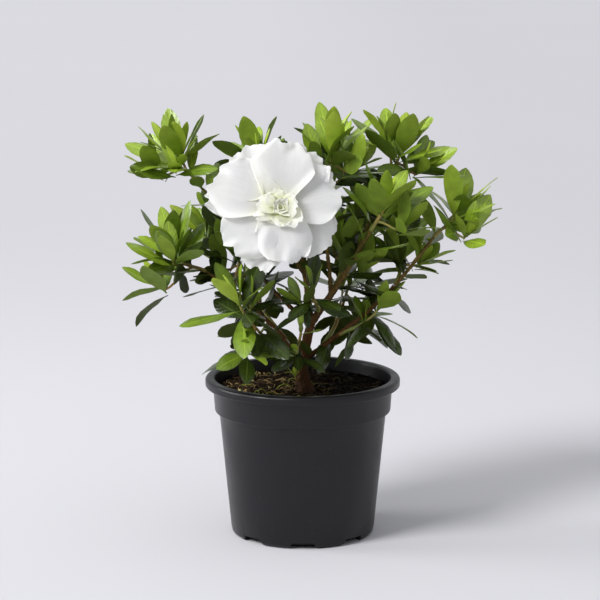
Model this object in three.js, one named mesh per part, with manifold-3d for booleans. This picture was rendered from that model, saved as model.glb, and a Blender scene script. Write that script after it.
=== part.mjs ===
// Potted azalea: a young double white azalea in a round nursery pot.
// Millimetres, +Z up. The origin is the centre of the pot's flat underside, and the flower faces -Y.
import * as THREE from "three";
import { mergeVertices } from "three/addons/utils/BufferGeometryUtils.js";
import Module from "manifold-3d";

// Clearance left between neighbouring solids.
const GAP = 0.3;

// Pot, by its outer radii and heights.
const POT_HEIGHT = 106.5;
const POT_SIDES = 40;
const WALL = 1.6;
const FLOOR = 1.8;
const BASE_RADIUS = 48;
const BASE_FILLET = 3.5;
const STEP_RADIUS = 55.8;
const STEP_HEIGHT = 83.5;
const COLLAR_FOOT_RADIUS = 58.8;
const COLLAR_TOP_RADIUS = 59.8;
const RIM_RADIUS = 65;
const RIM_DEPTH = 6;
const RIM_ROUND = 1.3;
const COLLAR_ROUND = 1.2;

// Drain notches through the foot of the wall.
const NOTCH_COUNT = 8;
const NOTCH_FOOT_WIDTH = 19;
const NOTCH_HEAD_WIDTH = 14;
const NOTCH_HEIGHT = 4.2;
const NOTCH_INNER_RADIUS = 40;
const NOTCH_LENGTH = 12;

// Potting mix, below the rim.
const SOIL_HEIGHT = 98;
const SOIL_FOOT_RADIUS = 38;
const SOIL_CHAMFER = 10;
const SOIL_WAVE = 1.1;
const SOIL_SIDES = 30;
const SOIL_RINGS = 4;

// Trunk: a flat foot on the soil, a waist above the root flare, and the fork.
const TRUNK_FOOT = new THREE.Vector3(2, -13, SOIL_HEIGHT + GAP);
const TRUNK_WAIST = new THREE.Vector3(0, -12, 117);
const TRUNK_FORK = new THREE.Vector3(6, -8, 147);
const TRUNK_FOOT_RADIUS = 7.6;
const TRUNK_WAIST_RADIUS = 4;
const TRUNK_FORK_RADIUS = 3;
const TRUNK_STEPS = 8;
const TRUNK_SIDES = 10;
const FLARE_LENGTH = 9;
const FLAT_SOIL_RADIUS = 12;

// Boughs.
const BOUGH_SIDES = 7;
const BOUGH_STEPS = 6;
const BOUGH_TIP_SHARE = 0.55;

// Flower: a ruffled dome on a short cup, turned to the front and a little upwards.
const FLOWER_CENTRE = new THREE.Vector3(-20, -50, 230);
const FLOWER_RADIUS = 44;
const FLOWER_DOME = 15;
const FLOWER_CUP = 15;
const FLOWER_RIM = 5;
const FLOWER_PETALS = 7;
const FLOWER_SCALLOP = 0.05;
const FLOWER_TILT = 0.32;
const FLOWER_SIDES = 24;

// Foliage masses.
const LEAF_DETAIL = 2;
const UNEVEN = 0.14;
const LUMPS = 5;
const LUMP_PITCH = [4, 10];

// Each mass stands at a turn round the pot's axis (degrees from +X towards +Y), a reach from it
// and a height. Its size is half its breadth, and squash is its half height over that.
const CROWN = [
  { name: "foliage_left_top", turn: 183, reach: 87, height: 260, size: 30, squash: 1 },
  { name: "foliage_left", turn: 192, reach: 90, height: 197, size: 30, squash: 0.96 },
  { name: "foliage_back_left_top", turn: 134, reach: 48, height: 253, size: 25, squash: 0.98 },
  { name: "foliage_top", turn: 0, reach: 20, height: 262, size: 26, squash: 1.1 },
  { name: "foliage_right_top", turn: 13, reach: 68, height: 262, size: 28, squash: 1.06 },
  { name: "foliage_front_right", turn: -24, reach: 61, height: 230, size: 27, squash: 0.9 },
  { name: "foliage_right", turn: 0, reach: 103, height: 223, size: 29, squash: 0.9 },
  { name: "foliage_front_left", turn: 229, reach: 59, height: 157, size: 26, squash: 1.25 },
  { name: "foliage_right_low", turn: -16, reach: 48, height: 146, size: 20, squash: 1.15 },
  { name: "foliage_front_low", turn: -92, reach: 30, height: 135, size: 12, squash: 1.2 },
  { name: "foliage_centre_right", turn: -2, reach: 30, height: 197, size: 24, squash: 1.2 },
  { name: "foliage_centre_left", turn: 180, reach: 44, height: 197, size: 24, squash: 1.15 },
  { name: "foliage_right_middle", turn: 7, reach: 70, height: 192, size: 21, squash: 1.05 },
  { name: "foliage_under_flower", turn: -78, reach: 31, height: 170, size: 18, squash: 0.95 },
  { name: "foliage_back_left", turn: 140, reach: 74, height: 206, size: 30, squash: 1 },
  { name: "foliage_back_right", turn: 47, reach: 76, height: 211, size: 31, squash: 1 },
  { name: "foliage_back", turn: 92, reach: 74, height: 229, size: 30, squash: 1 },
  { name: "foliage_back_right_top", turn: 64, reach: 46, height: 259, size: 27, squash: 0.95 },
  { name: "foliage_back_left_low", turn: 133, reach: 46, height: 156, size: 24, squash: 1 },
  { name: "foliage_back_right_low", turn: 54, reach: 50, height: 154, size: 25, squash: 1 },
  { name: "foliage_back_middle", turn: 95, reach: 38, height: 190, size: 23, squash: 1 },
];

// Each bough leaves a limb at a share of that limb's length and runs to a mass or the flower.
// Root is its first radius, and bow is how far its middle is carried out of the straight line.
const BOUGHS = [
  { name: "bough_right", from: "trunk", at: 0.97, to: "foliage_front_right", root: 2.5, bow: [0, 0, -4] },
  { name: "bough_left", from: "trunk", at: 0.97, to: "foliage_back_left_top", root: 2.4, bow: [9, -3, 4] },
  { name: "bough_right_low", from: "trunk", at: 0.42, to: "foliage_right", root: 2.1, bow: [4, -3, -7] },
  { name: "bough_left_low", from: "trunk", at: 0.46, to: "foliage_left", root: 1.9, bow: [4, 5, 3] },
  { name: "bough_front", from: "trunk", at: 0.4, to: "foliage_front_left", root: 1.5, bow: [-2, -3, -3] },
  { name: "bough_back_left", from: "trunk", at: 0.9, to: "foliage_back_left", root: 2, bow: [0, 0, -6] },
  { name: "bough_back_right", from: "trunk", at: 0.88, to: "foliage_back_right", root: 2, bow: [0, 2, -6] },
  { name: "bough_back", from: "bough_left", at: 0.16, to: "foliage_back", root: 1.9, bow: [0, 6, -6] },
  {
    name: "bough_left_top", from: "bough_left", at: 0.3, to: "foliage_left_top",
    root: 1.7, bow: [-4, 0, -8],
  },
  { name: "bough_top", from: "bough_right", at: 0.24, to: "foliage_top", root: 1.7, bow: [-4, 3, 0] },
  {
    name: "bough_right_top", from: "bough_right", at: 0.5, to: "foliage_right_top",
    root: 1.7, bow: [0, 6, -2],
  },
  { name: "flower_stalk", from: "bough_left", at: 0.24, to: "flower", root: 1.5, bow: [0, -7, -3] },
];

const COLOURS = {
  pot: 0x2e2e33,
  potting_mix: 0x33241a,
  trunk: 0x5a4030,
  bough: 0x6d4a2b,
  flower: 0xf1f1ec,
  young: 0x7ba62c,
  grown: 0x47741f,
  inner: 0x28440f,
};

const wasm = await Module();
wasm.setup();

// A repeatable run of numbers from 0 to 1.
function seeded(seed) {
  let state = (seed * 7919 + 104729) % 233280;
  return function next() {
    state = (state * 9301 + 49297) % 233280;
    return state / 233280;
  };
}

// A closed geometry as a solid that can be joined and cut.
function toSolid(geometry) {
  const bare = geometry.clone();
  bare.deleteAttribute("normal");
  bare.deleteAttribute("uv");
  const merged = mergeVertices(bare, 1e-4);
  return new wasm.Manifold(
    new wasm.Mesh({
      numProp: 3,
      vertProperties: new Float32Array(merged.attributes.position.array),
      triVerts: new Uint32Array(merged.index.array),
    }),
  );
}

// The largest body of a solid, as a geometry.
function toGeometry(solid) {
  const bodies = solid.decompose();
  const largest = bodies.reduce((a, b) => (a.volume() > b.volume() ? a : b));
  const mesh = largest.getMesh();
  const geometry = new THREE.BufferGeometry();
  geometry.setAttribute("position", new THREE.BufferAttribute(mesh.vertProperties, 3));
  geometry.setIndex(new THREE.BufferAttribute(mesh.triVerts, 1));
  geometry.computeVertexNormals();
  return geometry;
}

// Cuts every tool from a solid.
function cutAll(solid, tools) {
  return tools.reduce((left, tool) => left.subtract(tool), solid);
}

// A closed geometry from a stack of rings with equal counts of points, capped by a fan at each end.
// Seen from the last ring, each ring runs anticlockwise.
function stack(rings) {
  const sides = rings[0].length;
  const points = rings.flat();
  const faces = [];
  for (let row = 0; row + 1 < rings.length; row++) {
    for (let side = 0; side < sides; side++) {
      const a = row * sides + side;
      const b = row * sides + ((side + 1) % sides);
      faces.push(a, b, b + sides, a, b + sides, a + sides);
    }
  }
  const caps = [rings[0], rings[rings.length - 1]];
  caps.forEach((ring, end) => {
    const hub = points.length;
    const middle = new THREE.Vector3();
    ring.forEach((point) => middle.addScaledVector(point, 1 / sides));
    points.push(middle);
    const first = end ? (rings.length - 1) * sides : 0;
    for (let side = 0; side < sides; side++) {
      const a = first + side;
      const b = first + ((side + 1) % sides);
      faces.push(...(end ? [a, b, hub] : [b, a, hub]));
    }
  });
  const geometry = new THREE.BufferGeometry().setFromPoints(points);
  geometry.setIndex(faces);
  geometry.computeVertexNormals();
  return geometry;
}

// A tapering limb with flat ends along a curve, whose radius is a function of the share of length.
function limb(curve, radiusAt, steps, sides) {
  const frames = curve.computeFrenetFrames(steps, false);
  const rings = [];
  for (let step = 0; step <= steps; step++) {
    const share = step / steps;
    const centre = curve.getPointAt(share);
    const radius = radiusAt(share);
    const ring = [];
    for (let side = 0; side < sides; side++) {
      const angle = (side / sides) * 2 * Math.PI;
      const point = centre.clone();
      point.addScaledVector(frames.normals[step], Math.cos(angle) * radius);
      point.addScaledVector(frames.binormals[step], Math.sin(angle) * radius);
      ring.push(point);
    }
    rings.push(ring);
  }
  return stack(rings);
}

// The pot's inner wall, by its corners: above the floor, under the step, over the step and at the rim.
const INNER_WALL = [
  [BASE_RADIUS - WALL, FLOOR + BASE_FILLET],
  [STEP_RADIUS - WALL, STEP_HEIGHT - WALL],
  [COLLAR_FOOT_RADIUS - WALL, STEP_HEIGHT + COLLAR_ROUND],
  [COLLAR_TOP_RADIUS - WALL + RIM_ROUND, POT_HEIGHT - RIM_ROUND],
];

// The radius of the inner wall at a height between two of its corners.
function innerRadius(corner, height) {
  const [lowRadius, low] = INNER_WALL[corner];
  const [highRadius, high] = INNER_WALL[corner + 1];
  return THREE.MathUtils.mapLinear(height, low, high, lowRadius, highRadius);
}

// The pot: a moulded wall with a stepped collar and a rolled rim, turned round its axis.
function potGeometry() {
  const top = POT_HEIGHT;
  const lipFoot = top - RIM_DEPTH;
  const shoulder = STEP_HEIGHT + COLLAR_ROUND;
  const outline = [
    [0, 0],
    [BASE_RADIUS - BASE_FILLET, 0],
    [BASE_RADIUS - BASE_FILLET * 0.3, BASE_FILLET * 0.3],
    [BASE_RADIUS + BASE_FILLET * 0.1, BASE_FILLET],
    [STEP_RADIUS, STEP_HEIGHT],
    [COLLAR_FOOT_RADIUS - COLLAR_ROUND * 0.5, STEP_HEIGHT],
    [COLLAR_FOOT_RADIUS, shoulder],
    [COLLAR_TOP_RADIUS, lipFoot],
    [RIM_RADIUS - RIM_ROUND, lipFoot],
    [RIM_RADIUS, lipFoot + RIM_ROUND],
    [RIM_RADIUS, top - RIM_ROUND],
    [RIM_RADIUS - RIM_ROUND, top],
    [COLLAR_TOP_RADIUS + RIM_ROUND, top],
    ...INNER_WALL.toReversed(),
    [BASE_RADIUS - BASE_FILLET, FLOOR],
    [0, FLOOR],
  ];
  const profile = outline.map(([radius, height]) => new THREE.Vector2(radius, height));
  const turned = new THREE.LatheGeometry(profile, POT_SIDES);
  turned.rotateX(Math.PI / 2);
  return toGeometry(cutAll(toSolid(turned), notchTools()));
}

// The wedges that open the drain notches.
function notchTools() {
  const below = 1;
  const flare = ((NOTCH_FOOT_WIDTH - NOTCH_HEAD_WIDTH) / 2) * (below / NOTCH_HEIGHT);
  const face = new THREE.Shape();
  face.moveTo(-NOTCH_FOOT_WIDTH / 2 - flare, -below);
  face.lineTo(NOTCH_FOOT_WIDTH / 2 + flare, -below);
  face.lineTo(NOTCH_HEAD_WIDTH / 2, NOTCH_HEIGHT);
  face.lineTo(-NOTCH_HEAD_WIDTH / 2, NOTCH_HEIGHT);
  const tools = [];
  for (let notch = 0; notch < NOTCH_COUNT; notch++) {
    const wedge = new THREE.ExtrudeGeometry(face, { depth: NOTCH_LENGTH, bevelEnabled: false });
    wedge.rotateX(Math.PI / 2);
    wedge.translate(0, -NOTCH_INNER_RADIUS, 0);
    wedge.rotateZ((notch / NOTCH_COUNT) * 2 * Math.PI);
    tools.push(toSolid(wedge));
  }
  return tools;
}

// How far the surface of the mix stands above its mean level. It is flat under the trunk's foot.
function soilWave(x, y) {
  const fromTrunk = Math.hypot(x - TRUNK_FOOT.x, y - TRUNK_FOOT.y);
  const free = THREE.MathUtils.smoothstep(fromTrunk, FLAT_SOIL_RADIUS, FLAT_SOIL_RADIUS * 1.6);
  const wave = Math.sin(x * 0.11 + 1) * Math.cos(y * 0.09) + 0.5 * Math.sin(x * 0.23 - y * 0.19);
  return free * SOIL_WAVE * wave;
}

// The potting mix: chamfered at the foot, so that the notches open on a hollow, and uneven on top.
function soilGeometry() {
  const clear = GAP * 1.4;
  const wallTop = SOIL_HEIGHT - SOIL_WAVE * 2;
  const [underStep, overStep] = [INNER_WALL[1], INNER_WALL[2]];
  const levels = [
    [SOIL_FOOT_RADIUS, FLOOR + GAP],
    [innerRadius(0, SOIL_CHAMFER) - clear, SOIL_CHAMFER],
    [underStep[0] - clear, underStep[1]],
    [overStep[0] - clear, overStep[1] + clear],
    [innerRadius(2, wallTop) - clear, wallTop],
  ];
  const rings = levels.map(([radius, height]) => soilRing(radius, () => height));
  for (let ring = SOIL_RINGS; ring > 0; ring--) {
    const radius = ((overStep[0] - clear) * ring) / (SOIL_RINGS + 0.6);
    rings.push(soilRing(radius, (x, y) => SOIL_HEIGHT + soilWave(x, y)));
  }
  return stack(rings);
}

function soilRing(radius, heightAt) {
  const ring = [];
  for (let side = 0; side < SOIL_SIDES; side++) {
    const angle = (side / SOIL_SIDES) * 2 * Math.PI;
    const x = radius * Math.cos(angle);
    const y = radius * Math.sin(angle);
    ring.push(new THREE.Vector3(x, y, heightAt(x, y)));
  }
  return ring;
}

// The trunk, from its level foot through the flare and the waist to the fork.
const trunkCurve = new THREE.CatmullRomCurve3([TRUNK_FOOT, TRUNK_WAIST, TRUNK_FORK]);

function trunkGeometry(grow) {
  const length = trunkCurve.getLength();
  const radiusAt = (share) => {
    const fade = Math.exp((-2 * share * length) / FLARE_LENGTH);
    const flare = (TRUNK_FOOT_RADIUS - TRUNK_WAIST_RADIUS) * fade;
    return THREE.MathUtils.lerp(TRUNK_WAIST_RADIUS, TRUNK_FORK_RADIUS, share) + flare + grow;
  };
  const geometry = limb(trunkCurve, radiusAt, TRUNK_STEPS, TRUNK_SIDES);
  const position = geometry.attributes.position;
  for (let i = 0; i < position.count; i++) {
    const nearFoot = position.getZ(i) < TRUNK_FOOT.z + TRUNK_FOOT_RADIUS * 0.3;
    if (nearFoot) {
      position.setZ(i, TRUNK_FOOT.z - grow);
    }
  }
  return geometry;
}

// The middle of a mass, from its turn, reach and height.
function massCentre(mass) {
  const turn = THREE.MathUtils.degToRad(mass.turn);
  return new THREE.Vector3(mass.reach * Math.cos(turn), mass.reach * Math.sin(turn), mass.height);
}

// A foliage mass: a ball made uneven by a few smooth lumps of its own, then fitted to its size.
function massGeometry(mass, seed, grow) {
  const random = seeded(seed);
  const lumps = [];
  for (let lump = 0; lump < LUMPS; lump++) {
    const axis = new THREE.Vector3(random() - 0.5, random() - 0.5, random() - 0.5).normalize();
    const pitch = THREE.MathUtils.lerp(...LUMP_PITCH, random());
    lumps.push({ axis, pitch, phase: 2 * Math.PI * random() });
  }
  const ball = new THREE.IcosahedronGeometry(1, LEAF_DETAIL);
  const position = ball.attributes.position;
  const point = new THREE.Vector3();
  for (let i = 0; i < position.count; i++) {
    point.fromBufferAttribute(position, i);
    let swell = 0;
    for (const lump of lumps) {
      swell += Math.sin(lump.pitch * point.dot(lump.axis) + lump.phase);
    }
    point.multiplyScalar(1 + (UNEVEN * swell) / Math.sqrt(LUMPS));
    position.setXYZ(i, point.x, point.y, point.z);
  }
  ball.computeBoundingBox();
  const middle = ball.boundingBox.getCenter(new THREE.Vector3());
  const half = ball.boundingBox.getSize(new THREE.Vector3()).multiplyScalar(0.5);
  const centre = massCentre(mass);
  ball.translate(-middle.x, -middle.y, -middle.z);
  ball.scale(
    (mass.size + grow) / half.x,
    (mass.size + grow) / half.y,
    (mass.size * mass.squash + grow) / half.z,
  );
  ball.translate(centre.x, centre.y, centre.z);
  return ball;
}

// The flower: rings from the foot of its cup, out to a scalloped rim, and over a low dome.
function flowerGeometry(grow) {
  const profile = [
    [0.12, -FLOWER_CUP],
    [0.5, -FLOWER_CUP * 0.75],
    [0.86, -FLOWER_RIM],
    [1, 0],
    [0.9, FLOWER_RIM],
    [0.55, FLOWER_DOME * 0.8],
    [0.2, FLOWER_DOME],
  ];
  const rings = profile.map(([share, height]) => {
    const ring = [];
    for (let side = 0; side < FLOWER_SIDES; side++) {
      const angle = (side / FLOWER_SIDES) * 2 * Math.PI;
      const scallop = 1 + FLOWER_SCALLOP * share * Math.cos(FLOWER_PETALS * angle);
      const radius = FLOWER_RADIUS * share * scallop + grow;
      const depth = height + grow * Math.sign(height);
      ring.push(new THREE.Vector3(radius * Math.cos(angle), radius * Math.sin(angle), depth));
    }
    return ring;
  });
  const geometry = stack(rings);
  geometry.rotateX(Math.PI / 2 - FLOWER_TILT);
  geometry.translate(FLOWER_CENTRE.x, FLOWER_CENTRE.y, FLOWER_CENTRE.z);
  return geometry;
}

// A bough's curve, from its parent limb to the middle of the mass or the flower that it carries.
function boughCurve(bough, curves) {
  const start = curves.get(bough.from).getPointAt(bough.at);
  const carried = CROWN.find((mass) => mass.name === bough.to);
  const end = carried ? massCentre(carried) : FLOWER_CENTRE;
  const middle = start.clone().lerp(end, 0.5).add(new THREE.Vector3(...bough.bow));
  return new THREE.CatmullRomCurve3([start, middle, end]);
}

function boughGeometry(curve, bough, grow) {
  const radiusAt = (share) => bough.root * THREE.MathUtils.lerp(1, BOUGH_TIP_SHARE, share) + grow;
  return limb(curve, radiusAt, BOUGH_STEPS, BOUGH_SIDES);
}

const azalea = new THREE.Group();

function addMesh(name, geometry, colour, roughness) {
  const material = new THREE.MeshStandardMaterial({ color: colour, roughness, metalness: 0 });
  const mesh = new THREE.Mesh(geometry, material);
  mesh.name = name;
  azalea.add(mesh);
}

addMesh("pot", potGeometry(), COLOURS.pot, 0.45);
addMesh("potting_mix", soilGeometry(), COLOURS.potting_mix, 1);
addMesh("trunk", trunkGeometry(0), COLOURS.trunk, 0.85);

// Masses and the flower as cutting tools, grown by the clearance.
const crownTools = new Map();
CROWN.forEach((mass, index) => crownTools.set(mass.name, toSolid(massGeometry(mass, index + 1, GAP))));
crownTools.set("flower", toSolid(flowerGeometry(GAP)));

// Each bough starts at the skin of its parent and ends at the skin of what it carries.
const curves = new Map([["trunk", trunkCurve]]);
const limbTools = [toSolid(trunkGeometry(GAP))];
for (const bough of BOUGHS) {
  const curve = boughCurve(bough, curves);
  curves.set(bough.name, curve);
  const whole = toSolid(boughGeometry(curve, bough, 0));
  const carried = crownTools.get(bough.to);
  addMesh(bough.name, toGeometry(cutAll(whole, [...limbTools, carried])), COLOURS.bough, 0.8);
  limbTools.push(toSolid(boughGeometry(curve, bough, GAP)).subtract(carried));
}

const flower = toSolid(flowerGeometry(0));
addMesh("flower", toGeometry(flower), COLOURS.flower, 0.6);

// Each mass is cut round the limbs, the flower and the masses before it.
const inTheWay = [...limbTools, crownTools.get("flower")];
CROWN.forEach((mass, index) => {
  const whole = toSolid(massGeometry(mass, index + 1, 0));
  const shade = mass.height > 240 ? COLOURS.young : mass.reach < 52 ? COLOURS.inner : COLOURS.grown;
  addMesh(mass.name, toGeometry(cutAll(whole, inTheWay)), shade, 0.5);
  inTheWay.push(crownTools.get(mass.name));
});

export default azalea;
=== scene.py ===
"""Potted azalea with one double white flower: pot, mix, limbs, leaves, flower and studio."""
import math
import random

import bpy
import numpy as np
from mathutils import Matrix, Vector


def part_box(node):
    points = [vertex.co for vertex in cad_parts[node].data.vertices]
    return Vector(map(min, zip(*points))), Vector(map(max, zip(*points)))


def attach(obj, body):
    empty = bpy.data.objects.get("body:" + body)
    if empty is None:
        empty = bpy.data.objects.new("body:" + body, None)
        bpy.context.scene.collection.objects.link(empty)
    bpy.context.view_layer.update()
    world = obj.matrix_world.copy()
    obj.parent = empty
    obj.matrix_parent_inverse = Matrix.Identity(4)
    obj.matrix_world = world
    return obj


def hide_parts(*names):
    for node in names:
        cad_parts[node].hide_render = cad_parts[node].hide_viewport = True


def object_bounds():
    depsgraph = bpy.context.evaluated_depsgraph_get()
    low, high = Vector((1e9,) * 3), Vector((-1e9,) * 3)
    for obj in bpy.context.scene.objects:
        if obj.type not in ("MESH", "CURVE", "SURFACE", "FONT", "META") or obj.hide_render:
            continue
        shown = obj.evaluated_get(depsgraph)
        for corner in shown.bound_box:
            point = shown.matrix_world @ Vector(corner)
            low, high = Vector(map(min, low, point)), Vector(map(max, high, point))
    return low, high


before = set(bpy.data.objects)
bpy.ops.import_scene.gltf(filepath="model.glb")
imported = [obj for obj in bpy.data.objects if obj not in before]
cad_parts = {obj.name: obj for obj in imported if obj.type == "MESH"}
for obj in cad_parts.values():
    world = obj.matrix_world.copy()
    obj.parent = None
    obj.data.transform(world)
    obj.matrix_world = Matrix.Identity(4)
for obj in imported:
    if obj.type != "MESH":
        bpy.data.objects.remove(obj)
CAD_BOX = [[float(number) for number in corner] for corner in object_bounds()]

bl_info = {
    "name": "Potted Azalea",
    "version": (1, 0, 0),
    "blender": (4, 5, 0),
    "location": "3D View > Sidebar > Azalea",
    "description": "Grows a young potted azalea round its frame of limbs and masses",
    "category": "Object",
}

MM = 0.001
GOLDEN_ANGLE = math.radians(137.508)
UP = np.array([0.0, 0.0, 1.0])
MASSES = sorted(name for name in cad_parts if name.startswith("foliage"))
BOUGHS = sorted(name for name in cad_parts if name.startswith("bough"))
POT_LOW, POT_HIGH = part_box("pot")
MIX_LOW, MIX_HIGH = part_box("potting_mix")
TRUNK_LOW, TRUNK_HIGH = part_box("trunk")
FLOWER_LOW, FLOWER_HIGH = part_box("flower")


# ---------------------------------------------------------------- small tools

def unit(vector):
    return vector / max(np.linalg.norm(vector), 1e-12)


def across(axis, hint=UP):
    """A unit vector square to the axis, as near to the hint as it can be."""
    side = hint - axis * np.dot(hint, axis)
    if np.linalg.norm(side) < 1e-6:
        side = np.cross(axis, [1.0, 0.0, 0.0])
    return unit(side)


def turned(vector, axis, angle):
    """The vector turned about a unit axis."""
    part = axis * np.dot(axis, vector) * (1 - math.cos(angle))
    return vector * math.cos(angle) + np.cross(axis, vector) * math.sin(angle) + part


def height_share(place):
    """How high in the crown a place is: 0 at the pot's rim, 1 at the crown's top."""
    return min(1.0, max(0.0, (place[2] - POT_HIGH.z) / (CAD_BOX[1][2] - POT_HIGH.z)))


def clear_selection():
    if bpy.context.object and bpy.context.object.mode != "OBJECT":
        bpy.ops.object.mode_set(mode="OBJECT")
    bpy.ops.object.select_all(action="DESELECT")


def make_active(piece):
    clear_selection()
    piece.select_set(True)
    bpy.context.view_layer.objects.active = piece


def apply_modifier(piece, kind, **settings):
    """Adds a modifier, sets it and applies it."""
    make_active(piece)
    bpy.ops.object.modifier_add(type=kind)
    modifier = piece.modifiers[-1]
    for name, value in settings.items():
        setattr(modifier, name, value)
    bpy.ops.object.modifier_apply(modifier=modifier.name)


def finish_piece(piece, nodes):
    """Puts a piece on the plant's one body and hides the frame parts that it takes the place of."""
    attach(piece, "root")
    if nodes:
        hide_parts(*nodes)


class Pieces:
    """Vertices, faces, finishes and leaf coordinates of many small shapes, gathered for one mesh."""

    def __init__(self):
        self.points, self.faces, self.finishes, self.places, self.edges = [], [], [], [], []
        self.count = 0

    def add(self, points, faces, finishes, places=None, sharp=()):
        self.points.append(np.asarray(points))
        self.faces += [[index + self.count for index in face] for face in faces]
        self.finishes += list(finishes)
        self.places.append(np.zeros((len(points), 2)) if places is None else np.asarray(places))
        self.edges += [(a + self.count, b + self.count) for a, b in sharp]
        self.count += len(points)

    def to_object(self, name, materials):
        mesh = bpy.data.meshes.new(name)
        mesh.from_pydata(np.concatenate(self.points).tolist(), [], self.faces)
        for material in materials:
            mesh.materials.append(material)
        mesh.polygons.foreach_set("material_index", self.finishes)
        mesh.polygons.foreach_set("use_smooth", [True] * len(mesh.polygons))
        corners = np.zeros(len(mesh.loops), dtype=np.int32)
        mesh.loops.foreach_get("vertex_index", corners)
        layer = mesh.uv_layers.new(name="Blade")
        layer.data.foreach_set("uv", np.concatenate(self.places)[corners].ravel())
        sharp = {tuple(sorted(edge)) for edge in self.edges}
        marks = [tuple(sorted(edge.vertices)) in sharp for edge in mesh.edges]
        mesh.attributes.new("sharp_edge", "BOOLEAN", "EDGE").data.foreach_set("value", marks)
        mesh.update()
        piece = bpy.data.objects.new(name, mesh)
        bpy.context.scene.collection.objects.link(piece)
        return piece


# ---------------------------------------------------------------- finishes

class Finish:
    """A material under construction: its shader and the nodes that feed it."""

    def __init__(self, name, roughness, **sockets):
        self.material = bpy.data.materials.new(name)
        self.material.use_nodes = True
        self.tree = self.material.node_tree
        self.shader = self.tree.nodes["Principled BSDF"]
        self.shader.inputs["Roughness"].default_value = roughness
        for socket, value in sockets.items():
            self.shader.inputs[socket.replace("_", " ")].default_value = value

    def node(self, kind, **settings):
        made = self.tree.nodes.new(kind)
        for name, value in settings.items():
            setattr(made, name, value)
        return made

    def link(self, source, target):
        self.tree.links.new(source, target)

    def place(self, kind="Object", scale=(1, 1, 1)):
        coordinates = self.node("ShaderNodeTexCoord")
        mapping = self.node("ShaderNodeMapping")
        mapping.inputs["Scale"].default_value = scale
        self.link(coordinates.outputs[kind], mapping.inputs["Vector"])
        return mapping.outputs["Vector"]

    def noise(self, place, scale, detail=3.0, roughness=0.55):
        made = self.node("ShaderNodeTexNoise")
        made.inputs["Scale"].default_value = scale
        made.inputs["Detail"].default_value = detail
        made.inputs["Roughness"].default_value = roughness
        self.link(place, made.inputs["Vector"])
        return made.outputs["Fac"]

    def ramp(self, factor, stops):
        made = self.node("ShaderNodeValToRGB")
        bands = made.color_ramp.elements
        while len(bands) < len(stops):
            bands.new(0.5)
        for band, (position, colour) in zip(bands, stops):
            band.position = position
            band.color = (*colour, 1.0)
        self.link(factor, made.inputs["Fac"])
        return made.outputs["Color"]

    def grey_ramp(self, factor, stops):
        return self.ramp(factor, [(position, (grey, grey, grey)) for position, grey in stops])

    def mix(self, factor, first, second, mode="MIX"):
        made = self.node("ShaderNodeMix", data_type="RGBA", blend_type=mode)
        if isinstance(factor, float):
            made.inputs[0].default_value = factor
        else:
            self.link(factor, made.inputs[0])
        for socket, value in ((made.inputs[6], first), (made.inputs[7], second)):
            if isinstance(value, tuple):
                socket.default_value = (*value, 1.0)
            else:
                self.link(value, socket)
        return made.outputs[2]

    def maths(self, operation, first, second=0.0):
        made = self.node("ShaderNodeMath", operation=operation)
        for socket, value in zip(made.inputs, (first, second)):
            if isinstance(value, (int, float)):
                socket.default_value = value
            else:
                self.link(value, socket)
        return made.outputs[0]

    def bump(self, height, distance, strength=1.0, under=None):
        made = self.node("ShaderNodeBump")
        made.inputs["Distance"].default_value = distance
        made.inputs["Strength"].default_value = strength
        self.link(height, made.inputs["Height"])
        if under is not None:
            self.link(under, made.inputs["Normal"])
        return made.outputs["Normal"]

    def feed(self, socket, source):
        self.link(source, self.shader.inputs[socket])


def shaded(colour, share):
    """A colour made darker or lighter."""
    return tuple(channel * share for channel in colour)


def pot_plastic(colour):
    """Satin black moulded plastic: fine flow texture, faint scuffs and dust."""
    made = Finish("pot_plastic", 0.36, Specular_IOR_Level=0.38)
    place = made.place()
    cloud = made.noise(place, 28, 4)
    dust = made.noise(place, 420, 5, 0.7)
    tint = made.ramp(cloud, [(0.3, shaded(colour, 0.82)), (0.7, shaded(colour, 1.2))])
    dusty = made.grey_ramp(dust, [(0.62, 0.0), (0.78, 0.16)])
    made.feed("Base Color", made.mix(dusty, tint, (0.16, 0.155, 0.15)))
    made.feed("Roughness", made.grey_ramp(made.noise(place, 60, 4), [(0.3, 0.31), (0.7, 0.41)]))
    grain = made.bump(made.noise(place, 2600, 2), 0.00002, 0.5)
    drawn = made.noise(made.place(scale=(1, 1, 0.06)), 520, 3)
    made.feed("Normal", made.bump(drawn, 0.00003, 0.35, grain))
    return made.material


def peat():
    """Dark moist peat with fine crumbs and brown fibres, darkened towards the right by painted shade."""
    made = Finish("peat", 0.95, Specular_IOR_Level=0.05)
    place = made.place()
    clods = made.noise(place, 160, 6, 0.7)
    crumbs = made.noise(place, 700, 6, 0.75)
    base = made.ramp(clods, [(0.34, (0.005, 0.0035, 0.0025)), (0.52, (0.014, 0.009, 0.006)),
                             (0.7, (0.06, 0.036, 0.02))])
    flecks = made.grey_ramp(crumbs, [(0.62, 0.0), (0.74, 0.55)])
    earth = made.mix(flecks, base, (0.13, 0.085, 0.045))
    # Painted shade: the peat's colour darkens towards the right.
    made.feed("Base Color", made.mix(1.0, earth, painted_shade_right(made, place), "MULTIPLY"))
    rough = made.bump(crumbs, 0.0009, 0.9)
    made.feed("Normal", made.bump(clods, 0.0016, 0.8, rough))
    return made.material


def painted_shade_right(made, place):
    """Painted shade across the mix: full colour on the left, much darker on the right."""
    spread = made.node("ShaderNodeSeparateXYZ")
    made.link(place, spread.inputs[0])
    return made.grey_ramp(made.maths("ADD", made.maths("MULTIPLY", spread.outputs["X"], 9.0), 0.5),
                          [(0.15, 1.0), (0.7, 0.25)])


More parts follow.
